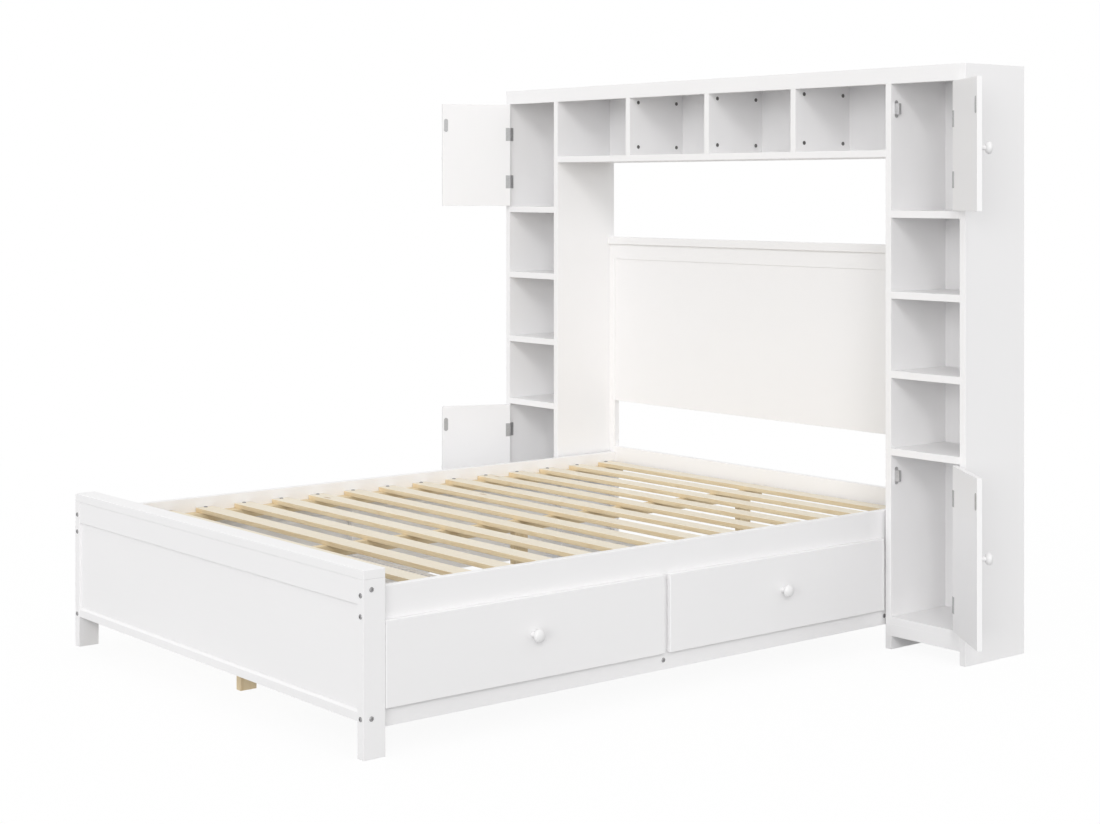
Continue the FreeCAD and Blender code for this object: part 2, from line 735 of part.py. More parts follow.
def leaf(name, side, profile, first_knuckle, inner, outer):
    """A hinge leaf round the pin: its plate, and every second knuckle from the first one given."""
    corners = [(u * -side, along) for u, along in profile]
    body = padded(name, "XY_Plane", corners, size.leaf_height)
    low, high = mirrored(side, inner, outer)
    for index in range(first_knuckle, KNUCKLE_COUNT, 2):
        bottom = knuckle_pitch * index + size.knuckle_gap / 2
        neck = {"Length": high - low, "Width": leaf_start, "Height": knuckle_height}
        barrel = {"Radius": size.barrel_radius, "Height": knuckle_height}
        primitive(body, "AdditiveBox", neck, (low, ZERO, bottom))
        primitive(body, "AdditiveCylinder", barrel, (ZERO, ZERO, bottom))
    bore = {"Radius": bore_radius, "Height": size.leaf_height}
    primitive(body, "SubtractiveCylinder", bore, (ZERO, ZERO, ZERO))
    return body


def leaf_screw_holes(body, across, along, turn):
    """Two screw holes through a leaf's plate."""
    for end in SIDES:
        height = size.leaf_height / 2 + size.leaf_screw_spread * end
        hole = {"Radius": size.leaf_screw_radius + size.leaf_screw_clearance, "Height": size.leaf_width}
        primitive(body, "SubtractiveCylinder", hole, (across, along, height), turn)


def screw_heads(across, along, bottom, rise, turn):
    """Two screw heads in a leaf's holes, seated on the wood behind it."""
    heads = []
    for end in SIDES:
        head = doc.addObject("PartDesign::Body", "leaf_screw")
        disc = {"Radius": size.leaf_screw_radius, "Height": size.leaf_thick + rise}
        primitive(head, "AdditiveCylinder", disc, (ZERO, ZERO, ZERO))
        height = bottom + size.leaf_height / 2 + size.leaf_screw_spread * end
        place(head, across, along, height, turn)
        heads.append(head)
    return heads


def frame_leaf(side, hinge_centre):
    """A leaf on an outer side's inner face, with its screw heads."""
    end = size.pin_ahead + size.leaf_width
    profile = [(-door_near, leaf_start), (-leaf_inner, leaf_start), (-leaf_inner, end), (-door_near, end)]
    body = leaf("frame_leaf", side, profile, 0, -door_near, -leaf_inner)
    screw_along = size.pin_ahead + size.leaf_width / 2
    leaf_screw_holes(body, door_near * side, screw_along, FACING_OUT[-side])
    bottom = hinge_centre - size.leaf_height / 2
    place(body, pin_across * side, pin_along, bottom)
    heads = screw_heads(outer_face * side, pin_along + screw_along, bottom, ZERO, FACING_OUT[-side])
    return [body] + heads


def door_leaf(side, hinge_centre):
    """A leaf that wraps a door's edge onto its inner face, with its screw heads."""
    end = door_near + size.leaf_width
    wrap = door_back + size.leaf_thick
    profile = [(leaf_inner, leaf_start), (door_near, leaf_start), (door_near, door_back),
               (end, door_back), (end, wrap), (leaf_inner, wrap)]
    body = leaf("door_leaf", side, profile, 1, leaf_inner, door_near)
    screw_across_leaf = (door_near + size.leaf_width / 2) * -side
    leaf_screw_holes(body, screw_across_leaf, door_back, FACING_HEAD)
    bottom = hinge_centre - size.leaf_height / 2
    place(body, ZERO, ZERO, bottom)
    heads = screw_heads(screw_across_leaf, door_back, bottom, size.leaf_screw_rise, FACING_HEAD)
    return [body] + heads


def strike(side, height):
    """The oval strike plate on a door's inner face."""
    plate = oval_plate("strike", size.strike_width, size.strike_length, size.strike_thick)
    place(plate, (door_far - size.strike_in) * -side, door_back, height, FACING_HEAD)
    return plate


def hang(name, members, side, angle):
    """Group a door's solids and swing them open about their pin."""
    piece = doc.addObject("Part::Compound", name)
    piece.Links = members
    place(piece, pin_across * side, pin_along, ZERO, FreeCAD.Rotation(Z_AXIS, side * angle))
    piece.Label = name
    nodes.append(piece)


def door(name, side, angle, opening, hinge_centres, knob_height, catch_height):
    """A door with its knob, hinge leaves and strike plate."""
    span = (opening[0] + size.door_end_gap, opening[1] - size.door_end_gap)
    panel = board(name + "_panel_board", mirrored(side, door_near, door_far),
                  (size.pin_ahead, door_back), span)
    handle = knob(name + "_knob_turned")
    place(handle, (door_far - size.door_knob_in) * -side, size.pin_ahead, knob_height, FACING_FRONT)
    plates = [strike(side, catch_height)]
    for centre in hinge_centres:
        plates += door_leaf(side, centre)
    hang(name + "_panel", [panel], side, angle)
    hang(name + "_knob", [handle], side, angle)
    hang(name + "_plates", plates, side, angle)


upper_bay = (upper_door_floor, fascia_bottom)
lower_bay = (lower_door_floor, lower_door_shelf)
upper_hinges = [up_bay(upper_bay, share) for share in UPPER_DOOR_HINGE_SHARES]
lower_hinges = [up_bay(lower_bay, share) for share in LOWER_DOOR_HINGE_SHARES]
upper_catch_height = up_bay(upper_bay, UPPER_DOOR_CATCH_SHARE)
lower_catch_height = up_bay(lower_bay, LOWER_DOOR_CATCH_SHARE)
frame_leaves = []
pins = []
for side, side_name in SIDE_NAMES.items():
    angle = RIGHT_DOOR_ANGLE if side > 0 else LEFT_DOOR_ANGLE
    door(side_name + "_upper_door", side, angle, upper_bay, upper_hinges,
         up_bay(upper_bay, UPPER_DOOR_KNOB_SHARE), upper_catch_height)
    door(side_name + "_lower_door", side, angle, lower_bay, lower_hinges,
         up_bay(lower_bay, LOWER_DOOR_KNOB_SHARE), lower_catch_height)
    for centre in upper_hinges + lower_hinges:
        frame_leaves += frame_leaf(side, centre)
        pin = doc.addObject("PartDesign::Body", "hinge_pin")
        primitive(pin, "AdditiveCylinder", {"Radius": size.pin_radius, "Height": size.leaf_height},
                  (ZERO, ZERO, ZERO))
        place(pin, pin_across * side, pin_along, centre - size.leaf_height / 2)
        pins.append(pin)
node("hinge_frame_leaves", *frame_leaves)
node("hinge_pins", *pins)

# Magnetic catches: an oval plate on each inner side, with a magnet block on it.
catch_front = pin_along + door_back + size.strike_thick + size.catch_clearance


def magnet_catch(side, height):
    """One catch: its plate and its block."""
    plate = oval_plate("catch_plate", size.strike_width, size.catch_plate_length, size.catch_plate_thick)
    upright = FreeCAD.Rotation(Z_AXIS, QUARTER_TURN).multiply(FreeCAD.Rotation(X_AXIS, QUARTER_TURN))
    if side < 0:
        upright = FreeCAD.Rotation(Z_AXIS, -QUARTER_TURN).multiply(FreeCAD.Rotation(X_AXIS, QUARTER_TURN))
    place(plate, inner_face * side, catch_front + size.strike_width / 2, height, upright)
    plate_face = inner_face + size.catch_plate_thick
    block = board("catch_block", sided(side, plate_face, plate_face + size.catch_block_width),
                  (catch_front, catch_front + size.catch_block_depth),
                  about(height, size.catch_block_height))
    return [plate, block]


catches = []
for side in SIDES:
    for height in (upper_catch_height, lower_catch_height):
        catches += magnet_catch(side, height + size.catch_rise)
node("magnet_catches", *catches)


# Bolts: a flat round head with a hexagon socket over a short shank, drawn with the head's seat at the origin.
def frame_bolts():
    """Five bolts in each footboard post and two in each lower side rail."""
    first = doc.addObject("PartDesign::Body", "frame_bolt")
    shank = {"Radius": size.bolt_shank_radius, "Height": size.bolt_shank_length}
    head = {"Radius": size.bolt_head_radius, "Height": size.bolt_head_height}
    socket = {"Circumradius": size.bolt_socket_radius, "Height": size.bolt_socket_depth}
    primitive(first, "AdditiveCylinder", shank, (ZERO, ZERO, -size.bolt_shank_length))
    primitive(first, "AdditiveCylinder", head, (ZERO, ZERO, ZERO))
    cut = primitive(first, "SubtractivePrism", socket,
                    (ZERO, ZERO, size.bolt_head_height - size.bolt_socket_depth))
    cut.Polygon = SOCKET_SIDE_COUNT
    places = []
    for side in SIDES:
        places += [((post_centre * side, foot_front, height), FACING_FRONT) for height in front_bolt_heights]
        places += [((post_outer * side, side_bolt_along, height), FACING_OUT[side])
                   for height in side_bolt_heights]
        places += [((size.frame_half_width * side, along, rail_bolt_height), FACING_OUT[side])
                   for along in rail_bolt_places]
    place(first, *places[0][0], turn=places[0][1])
    return [first] + [copy(first, "frame_bolt_copy", *where, turn=turn) for where, turn in places[1:]]


node("frame_bolts", *frame_bolts())

# Check every object, then write each sub-part to its own file.
doc.recompute()
for item in doc.Objects:
    if "Invalid" in item.State or "Error" in item.State:
        raise RuntimeError("%s did not compute: %s" % (item.Label, item.State))
os.makedirs("parts", exist_ok=True)
for piece in nodes:
    if piece.Shape.isNull() or not piece.Shape.isValid():
        raise RuntimeError("%s has no valid shape" % piece.Label)
    piece.Shape.exportStep(os.path.join("parts", piece.Label + ".step"))
print("%d sub-parts, %d solids" % (len(nodes), sum(len(piece.Shape.Solids) for piece in nodes)))
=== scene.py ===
"""Looks of the storage bed: white satin paint, bare pine, steel fittings, turned knobs and a pale studio."""

import json
import math

import bpy
import numpy as np
from bpy.props import FloatProperty, FloatVectorProperty, IntProperty, PointerProperty
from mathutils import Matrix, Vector


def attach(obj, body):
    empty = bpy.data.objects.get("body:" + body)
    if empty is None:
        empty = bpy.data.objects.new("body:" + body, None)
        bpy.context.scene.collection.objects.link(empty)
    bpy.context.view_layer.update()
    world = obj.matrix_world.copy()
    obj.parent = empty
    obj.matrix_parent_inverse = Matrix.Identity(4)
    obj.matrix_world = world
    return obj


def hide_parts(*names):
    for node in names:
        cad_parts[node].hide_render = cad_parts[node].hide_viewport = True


bl_info = {
    "name": "Storage Bed",
    "version": (1, 0, 0),
    "blender": (4, 5, 0),
    "location": "3D View > Sidebar > Storage Bed",
    "description": "Finishes, turned knobs and studio for a storage bed",
    "category": "Object",
}

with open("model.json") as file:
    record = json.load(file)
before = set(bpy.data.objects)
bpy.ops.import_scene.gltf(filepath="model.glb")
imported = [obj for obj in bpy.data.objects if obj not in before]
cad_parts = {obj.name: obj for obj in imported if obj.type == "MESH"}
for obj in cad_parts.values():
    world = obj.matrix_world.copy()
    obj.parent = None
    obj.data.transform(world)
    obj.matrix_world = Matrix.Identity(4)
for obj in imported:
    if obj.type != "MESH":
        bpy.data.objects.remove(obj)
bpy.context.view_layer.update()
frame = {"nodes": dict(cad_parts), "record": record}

# Nodes by finish and by the direction that their boards run in.
PAINTED_ACROSS = ("footboard_cap", "footboard_top_rail", "footboard_panel", "footboard_bottom_rail",
                  "headboard_ledge", "headboard_top_rail", "headboard_panel", "headboard_lower_rail",
                  "top_board", "top_fascia", "bridge_shelf", "bridge_back", "left_shelves", "right_shelves",
                  "kick_boards", "cross_rails")
PAINTED_ALONG = ("upper_side_rails", "lower_side_rails", "left_side_panel", "foot_drawer_front",
                 "head_drawer_front")
PAINTED_UPRIGHT = ("footboard_posts", "side_stiles", "headboard_posts", "left_outer_side", "right_outer_side",
                   "left_inner_side", "right_inner_side", "cabinet_backs", "bridge_dividers",
                   "left_upper_door_panel", "left_lower_door_panel", "right_upper_door_panel",
                   "right_lower_door_panel")
LACQUERED = ("foot_drawer_box", "head_drawer_box", "drawer_runners")
PINE_ACROSS = ("slats",)
PINE_ALONG = ("slat_ledgers", "centre_beam")
PINE_UPRIGHT = ("centre_leg", "end_legs")
DOOR_STEEL = ("left_upper_door_plates", "left_lower_door_plates", "right_upper_door_plates",
              "right_lower_door_plates")
HINGE_STEEL = ("hinge_frame_leaves", "hinge_pins")
CATCH_STEEL = ("magnet_catches",)
CAP_STEEL = ("divider_caps",)
DOMED = ("frame_bolts", "slat_screws")
KNOBS = ("foot_drawer_knob", "head_drawer_knob", "left_upper_door_knob", "left_lower_door_knob",
         "right_upper_door_knob", "right_lower_door_knob")
AXES = ("X", "Y", "Z")
WHITE = (1.0, 1.0, 1.0, 1.0)

FINE_DETAIL = 3.0

# The paint: cell sizes of its patterns, in metres, and how much each one adds.
FILM_CELL = (0.004, 0.004, 0.004)
PAINT_CLOUD_CELL = (0.35, 0.35, 0.35)
FIBRE_DISTORTION = 0.15
PAINT_FIBRE_SHARE = 0.35
PAINT_CLOUD_SHARE = 0.65
PAINT_GLOSS = 0.06
PAINT_FIBRE_ROUGH = 0.08
PAINT_FILM_ROUGH = 0.05
RELIEF_FIBRE_SHARE = 0.75
RELIEF_FILM_SHARE = 0.25
LACQUER_TINT = 1.6

# The pine: the same, and how far the grain of each board is moved along it and across it.
BOARD_SEED = 3.7
BOARD_SHIFTS = (9.0, 2.3, 1.1)
WANDER_CELL = (0.55, 0.045, 0.045)
WANDER_REACH = 0.06
RING_SLANT = 0.35
LATE_SHARPNESS = 2.6
LONG_FIBRE_CELL = (0.09, 0.0011, 0.0011)
PORE_CELL = (0.02, 0.0005, 0.0005)
KNOT_CELL = (0.36, 0.13, 0.13)
KNOT_EDGES = (0.075, 0.03)
KNOT_SHARE = 0.8
TONE_CELL = (0.5, 0.08, 0.08)
LATE_SHARE = 0.42
FIBRE_SHARE = 0.24
TONE_SHARE = 0.18
BOARD_SHARE = 0.16
PINE_ROUGH = 0.1
PINE_FIBRE_RELIEF = 0.5
PINE_PORE_RELIEF = 0.25
PINE_LATE_RELIEF = 0.25
# Depths below the slats' top face over which the paler top colours (painted light) give way to the darker,
# warmer colours (painted shade).
LIT_TOP_DEPTHS = (0.0012, 0.0002)

# The plating.
PLATING_CLOUD_CELL = (0.006, 0.006, 0.006)
UPRIGHT_SCRATCH_CELL = (0.0003, 0.0003, 0.006)
EVEN_SCRATCH_CELL = (0.0004, 0.0004, 0.0004)
PLATING_RELIEF = 0.00002
PLATING_SCRATCH_ROUGH = 0.16
PLATING_CLOUD_ROUGH = 0.08
TARNISH_TONE = 0.62
TARNISH_CLOUD_SHARE = 0.6
TARNISH_SCRATCH_SHARE = 0.25

# Geometry of the new pieces: the powers bend the outline of a knob.
STEM_POWER = 3
UNDER_OUT_POWER = 1.15
UNDER_UP_POWER = 0.9
HEAD_SHARP_ANGLE = math.radians(35.0)
SOCKET_SIDES = 6
DOME_STEPS = 7
LOOSE = 1e-4
HEAD_REACH_SHARE = 0.9

# The studio, in metres.
FLOOR_HALF = 30.0
FLOOR_DROP = 0.0005
FLOOR_NEAR_REACH = 1.5
MOTTLE_CELL = (0.8, 0.8, 0.8)
MOTTLE_SHARE = 0.06
UNDER_SCALE = (1.25, 0.9, 0.0)
UNDER_EDGES = (0.85, 1.2)
LAMP_DISTANCE = 8.0
SENSOR_WIDTH = 36.0
VIEW_END = 200.0
SEEN_RAYS = ("Is Camera Ray", "Is Glossy Ray", "Is Transmission Ray")


class PaintProperties(bpy.types.PropertyGroup):
    """The white paint."""

    colour: FloatVectorProperty(name="Colour", description="Colour of the satin paint", subtype="COLOR",
                                size=3, min=0.0, max=1.0, default=(0.925, 0.919, 0.922))
    shade: FloatVectorProperty(name="Shade", description="Colour where the paint film is thinner",
                               subtype="COLOR", size=3, min=0.0, max=1.0, default=(0.895, 0.889, 0.893))
    roughness: FloatProperty(name="Roughness", description="Roughness of the satin film", min=0.0, max=1.0,
                             default=0.42)
    fibre_width: FloatProperty(name="Fibre width", description="Width of the fibres that show in the film",
                               unit="LENGTH", min=0.0001, default=0.0022)
    fibre_length: FloatProperty(name="Fibre length", description="Length of those fibres", unit="LENGTH",
                                min=0.001, default=0.14)
    relief: FloatProperty(name="Relief", description="Height of the fibres in the film", unit="LENGTH",
                          min=0.0, default=0.00006)


class PineProperties(bpy.types.PropertyGroup):
    """The bare pine."""

    # The first two colours are painted light, used on the slats' top faces only. The next two are the base
    # pine colour of the ledgers, beam and legs, and on the slats they serve as painted shade, darker and
    # warmer, on the faces below the top.
    pale: FloatVectorProperty(name="Pale", description="Early wood of the planed tops", subtype="COLOR",
                              size=3, min=0.0, max=1.0, default=(0.89, 0.84, 0.73))
    dark: FloatVectorProperty(name="Dark", description="Late wood of the planed tops", subtype="COLOR",
                              size=3, min=0.0, max=1.0, default=(0.79, 0.69, 0.52))
    shade_and_base_pale: FloatVectorProperty(name="Sawn pale", description="Early wood of the sawn faces",
                                   subtype="COLOR", size=3, min=0.0, max=1.0, default=(0.84, 0.72, 0.50))
    shade_and_base_dark: FloatVectorProperty(name="Sawn dark", description="Late wood of the sawn faces",
                                   subtype="COLOR", size=3, min=0.0, max=1.0, default=(0.68, 0.52, 0.31))
    knot: FloatVectorProperty(name="Knot", description="Knots", subtype="COLOR", size=3, min=0.0, max=1.0,
                              default=(0.52, 0.36, 0.22))
    ring_width: FloatProperty(name="Ring width", description="Distance between growth lines", unit="LENGTH",
                              min=0.0005, default=0.0065)
    roughness: FloatProperty(name="Roughness", description="Roughness of planed wood", min=0.0, max=1.0,
                             default=0.62)
    relief: FloatProperty(name="Relief", description="Height of the grain", unit="LENGTH", min=0.0,
                          default=0.00012)
    slat_count: IntProperty(name="Slats", description="Number of slats", min=2, default=15)
    slat_width: FloatProperty(name="Slat width", description="Width of one slat", unit="LENGTH", min=0.001,
                              default=0.06)


class SteelProperties(bpy.types.PropertyGroup):
    """The plated fittings."""

    door: FloatVectorProperty(name="Doors", description="Plating of what the doors carry", subtype="COLOR",
                              size=3, min=0.0, max=1.0, default=(0.62, 0.62, 0.625))
    hinge: FloatVectorProperty(name="Hinges", description="Plating of the frame leaves and pins",
                               subtype="COLOR", size=3, min=0.0, max=1.0, default=(0.55, 0.55, 0.555))
    catch: FloatVectorProperty(name="Catches", description="Plating of the catches", subtype="COLOR", size=3,
                               min=0.0, max=1.0, default=(0.74, 0.74, 0.745))
    cap: FloatVectorProperty(name="Caps", description="Plating of the caps on the dividers",
                             subtype="COLOR", size=3, min=0.0, max=1.0, default=(0.24, 0.235, 0.23))
    bolt: FloatVectorProperty(name="Bolts", description="Plating of the bolts and slat screws",
                              subtype="COLOR", size=3, min=0.0, max=1.0, default=(0.42, 0.415, 0.42))
    roughness: FloatProperty(name="Roughness", description="Roughness of the plating", min=0.0, max=1.0,
                             default=0.36)


class KnobProperties(bpy.types.PropertyGroup):
    """The turned knobs."""

    foot_radius: FloatProperty(name="Foot radius", description="Radius of the stem at the face it stands on",
                               unit="LENGTH", min=0.001, default=0.0085)
    neck_radius: FloatProperty(name="Neck radius", description="Radius of the stem where it is thinnest",
                               unit="LENGTH", min=0.001, default=0.0064)
    head_radius: FloatProperty(name="Head radius", description="Largest radius of the head", unit="LENGTH",
                               min=0.001, default=0.0176)
    head_share: FloatProperty(name="Head share", subtype="FACTOR", min=0.3, max=0.9, default=0.735,
                              description="Share of the height at which the head is widest")
    neck_share: FloatProperty(name="Neck share", description="Share of the height at which the neck ends",
                              subtype="FACTOR", min=0.1, max=0.7, default=0.42)
    segments: IntProperty(name="Segments", description="Steps round a knob", min=12, max=256, default=96)
    rings: IntProperty(name="Rings", description="Steps along each part of the outline", min=4, max=64,
                       default=18)
    # Painted shade: both knob colours are darker than the boards' white paint, to damp the light on the
    # knobs.
    colour: FloatVectorProperty(name="Paint", description="Paint of the knobs", subtype="COLOR", size=3,
                                min=0.0, max=1.0, default=(0.865, 0.86, 0.862))
    shade: FloatVectorProperty(name="Thin paint", description="Paint where it lies thin", subtype="COLOR",
                               size=3, min=0.0, max=1.0, default=(0.845, 0.84, 0.842))


class BoltProperties(bpy.types.PropertyGroup):
    """The low domed heads of bolts and slat screws."""

    rim: FloatProperty(name="Rim", description="Height of the head's upright rim", unit="LENGTH", min=0.0,
                       default=0.0008)
    crown: FloatProperty(name="Crown", description="Height of the head's flat crown", unit="LENGTH", min=0.0,
                         default=0.0024)
    crown_share: FloatProperty(name="Crown share", subtype="FACTOR", min=0.3, max=0.9, default=0.58,
                               description="Share of the radius at which the crown starts")
    socket_share: FloatProperty(name="Socket share", description="Share of the radius that the socket takes",
                                subtype="FACTOR", min=0.1, max=0.8, default=0.42)
    socket_depth: FloatProperty(name="Socket depth", description="Depth of the six-sided socket",
                                unit="LENGTH", min=0.0, default=0.0017)
    segments: IntProperty(name="Segments", description="Steps round a head", min=12, max=240, default=48)


class StageProperties(bpy.types.PropertyGroup):
    """The camera, the light and the floor."""

    camera_place: FloatVectorProperty(name="Camera", description="Place of the camera", subtype="TRANSLATION",
                                      unit="LENGTH", size=3, default=(4.8864, -3.8239, 1.4049))
    camera_turn: FloatProperty(name="Turn", description="Turn of the level camera about the vertical",
                               subtype="ANGLE", default=math.radians(51.063))
    lens: FloatProperty(name="Lens", description="Focal length for a 36 mm sensor", unit="CAMERA", min=1.0,
                        default=65.107)
    shift: FloatProperty(name="Shift", description="Vertical shift of the level camera", default=-0.20263)
    sky: FloatProperty(name="Sky", description="Strength of the even light from all round", min=0.0,
                       default=0.87)
    key: FloatProperty(name="Key", description="Strength of the soft light from the drawer side", min=0.0,
                       default=0.64)
    key_from: FloatVectorProperty(name="Key from", description="Direction that this light comes from",
                                  subtype="DIRECTION", size=3, default=(0.72, -0.55, 0.42))
    key_width: FloatProperty(name="Key width", description="Angle that this light fills",
                             subtype="ANGLE", default=math.radians(15.0))
    fill: FloatProperty(name="Fill", description="Strength of the low soft light from the foot end", min=0.0,
                        default=0.67)
    fill_from: FloatVectorProperty(name="Fill from", description="Direction that this light comes from",
                                   subtype="DIRECTION", size=3, default=(0.495, -0.858, 0.139))
    fill_width: FloatProperty(name="Fill width", description="Angle that this light fills",
                              subtype="ANGLE", default=math.radians(24.0))
    floor_near: FloatProperty(name="Floor near", description="Share of plain white in the floor by the bed",
                              subtype="FACTOR", min=0.0, max=1.0, default=0.93)
    floor_fade: FloatProperty(name="Floor fade", description="Distance at which the floor is plain white",
                              unit="LENGTH", min=0.1, default=5.0)
    floor_under: FloatProperty(name="Floor under", description="Whiteness of the floor under the bed",
                               min=0.0, max=1.0, default=0.92)
    floor_round: FloatProperty(name="Floor round", description="Whiteness of the floor round the bed",
                               min=0.0, max=1.0, default=0.45)


class Value:
    """One output of a shader node; arithmetic on it adds the Math node that does the sum."""

    def __init__(self, finish, socket):
        self.finish = finish
        self.socket = socket

    def maths(self, operation, *others):
        sockets = dict(enumerate((self,) + others))
        return self.finish.node("Math", {"operation": operation}, sockets)

    def __add__(self, other):
        return self.maths("ADD", other)

    __radd__ = __add__

    def __sub__(self, other):
        return self.maths("SUBTRACT", other)

    def __rsub__(self, other):
        return self.finish.node("Math", {"operation": "SUBTRACT"}, {0: other, 1: self})

    def __mul__(self, other):
        return self.maths("MULTIPLY", other)

    __rmul__ = __mul__

    def __truediv__(self, other):
        return self.maths("DIVIDE", other)

    def __pow__(self, other):
        return self.maths("POWER", other)


class Finish:
    """A material or a world, and its nodes."""

    def __init__(self, owner):
        self.owner = owner
        owner.use_nodes = True
        self.tree = owner.node_tree
        self.tree.nodes.clear()

    def node(self, kind, settings=None, sockets=None, output=0):
        """Add a node: its settings first, then its sockets' values or links."""
        made = self.tree.nodes.new("ShaderNode" + kind)
        for name, setting in (settings or {}).items():
            setattr(made, name, setting)
        for name, value in (sockets or {}).items():
            if isinstance(value, Value):
                self.tree.links.new(value.socket, made.inputs[name])
            else:
                made.inputs[name].default_value = value
        return Value(self, made.outputs[output]) if made.outputs else made

    def blend(self, factor, first, second):
        """A colour between two others."""
        return self.node("Mix", {"data_type": "RGBA"}, {0: factor, 6: first, 7: second}, output=2)

    def place(self):
        """The surface's own place in metres."""
        return self.node("TexCoord", output=3)

    def noise(self, place, cell, detail=2.0, distortion=0.0):
        """Noise from 0 to 1 with cells of the given sizes."""
        sockets = {"Vector": self.stretched(place, cell), "Scale": 1.0, "Detail": detail,
                   "Distortion": distortion}
        return self.node("TexNoise", {"noise_dimensions": "3D"}, sockets)

    def stretched(self, place, cell):
        """A place counted in cells of the given sizes."""
        scale = tuple(1.0 / side for side in cell)
        return self.node("Mapping", {"vector_type": "POINT"}, {"Vector": place, "Scale": scale})

    def ramp(self, value, start, end, low=0.0, high=1.0):
        """A smooth step from low, where the value is at the start, to high, where it is at the end."""
        return self.node("MapRange", {"interpolation_type": "SMOOTHSTEP"},
                         {"Value": value, "From Min": start, "From Max": end, "To Min": low, "To Max": high})

    def length(self, vector):
        """The length of a vector."""
        return self.node("VectorMath", {"operation": "LENGTH"}, {0: vector}, output=1)

    def bump(self, height, distance):
        """A surface normal from a height of 0 to 1 over a distance in metres."""
        return self.node("Bump", None, {"Height": height, "Distance": distance, "Strength": 1.0})

    def seen(self):
        """1 for rays from the camera, off a gloss or through glass, and 0 for the others."""
        rays = self.node("LightPath").socket.node.outputs
        camera, gloss, glass = (Value(self, rays[label]) for label in SEEN_RAYS)
        return (camera + gloss + glass).maths("MINIMUM", 1.0)

    def surface(self, sockets):
        """Finish with a Principled surface."""
        shader = self.node("BsdfPrincipled", None, sockets)
        self.node("OutputMaterial", None, {"Surface": shader})
        return self.owner


def opaque(colour):
    """A colour property as red, green, blue and alpha."""
    return tuple(colour) + (1.0,)


def grey(tone):
    """A grey as red, green, blue and alpha."""
    return opaque((tone, tone, tone))


def cell_along(axis, across, along):
    """Cell sizes for a pattern that is stretched along one axis."""
    return tuple(along if name == axis else across for name in AXES)


def satin_paint(name, axis, properties, tint=1.0, colours=None):
    """Satin paint over wood: a soft film in which the fibres below still show a little."""
    pale, deep = colours or (properties.colour, properties.shade)
    finish = Finish(bpy.data.materials.new(name))
    place = finish.place()
    cell = cell_along(axis, properties.fibre_width, properties.fibre_length)
    fibres = finish.noise(place, cell, detail=FINE_DETAIL, distortion=FIBRE_DISTORTION)
    film = finish.noise(place, FILM_CELL)
    cloud = finish.noise(place, PAINT_CLOUD_CELL)
    thin = (fibres * PAINT_FIBRE_SHARE + cloud * PAINT_CLOUD_SHARE) * tint
    colour = finish.blend(thin, opaque(pale), opaque(deep))
    rough = properties.roughness - PAINT_GLOSS + fibres * PAINT_FIBRE_ROUGH + film * PAINT_FILM_ROUGH
    height = fibres * RELIEF_FIBRE_SHARE + film * RELIEF_FILM_SHARE
    return finish.surface({"Base Color": colour, "Roughness": rough,
                           "Normal": finish.bump(height, properties.relief)})


def bare_pine(name, axis, properties, pitch=0.0, start=0.0, top=None):
    """Bare pine: growth lines along the board, fine pores, and a few knots; each slat gets its own grain.

    Where a top is given, the face at that height gets paler colours as painted light and the faces below get
    darker, warmer ones as painted shade.
    """
    finish = Finish(bpy.data.materials.new(name))
    place = finish.place()
    parts = finish.node("SeparateXYZ", None, {0: place})
    split = {label: Value(finish, parts.socket.node.outputs[index]) for index, label in enumerate(AXES)}
    along = split[axis]
    sides = [split[label] for label in AXES if label != axis]
    board = (sides[0] - start) / pitch if pitch else sides[0] * 0.0
    board = board.maths("FLOOR")
    chance = finish.node("TexWhiteNoise", {"noise_dimensions": "1D"}, {"W": board + BOARD_SEED})
    moved = [part + chance * shift for part, shift in zip((along, sides[0], sides[1]), BOARD_SHIFTS)]
    shifted = finish.node("CombineXYZ", None, dict(enumerate(moved)))
    wander = finish.noise(shifted, WANDER_CELL)
    lines = (sides[0] + sides[1] * RING_SLANT + wander * WANDER_REACH) / properties.ring_width
    ring = (lines.maths("FRACT") - 0.5).maths("ABSOLUTE") * 2.0
    late = (1.0 - ring) ** LATE_SHARPNESS
    fibre = finish.noise(shifted, LONG_FIBRE_CELL, detail=FINE_DETAIL)
    pores = finish.noise(shifted, PORE_CELL, detail=1.0)
    spot = finish.node("TexVoronoi", {"voronoi_dimensions": "3D", "feature": "F1"},
                       {"Vector": finish.stretched(shifted, KNOT_CELL), "Scale": 1.0, "Randomness": 1.0})
    knot = finish.ramp(spot, *KNOT_EDGES)
    tone = finish.noise(shifted, TONE_CELL, detail=1.0)
    depth = late * LATE_SHARE + fibre * FIBRE_SHARE + tone * TONE_SHARE + chance * BOARD_SHARE
    wood = finish.blend(depth, opaque(properties.shade_and_base_pale), opaque(properties.shade_and_base_dark))
    # Painted light and shade: the slats' top face gets the paler colours and the faces below it keep the
    # darker, warmer ones.
    if top is not None:
        planed_and_lit = finish.blend(depth, opaque(properties.pale), opaque(properties.dark))
        share = finish.ramp(split["Z"], *(top - depth_below for depth_below in LIT_TOP_DEPTHS))
        wood = finish.blend(share, wood, planed_and_lit)
    colour = finish.blend(knot * KNOT_SHARE, wood, opaque(properties.knot))
    rough = properties.roughness - late * PINE_ROUGH + fibre * PINE_ROUGH
    height = fibre * PINE_FIBRE_RELIEF + pores * PINE_PORE_RELIEF - late * PINE_LATE_RELIEF + PINE_LATE_RELIEF
    return finish.surface({"Base Color": colour, "Roughness": rough,
                           "Normal": finish.bump(height, properties.relief)})


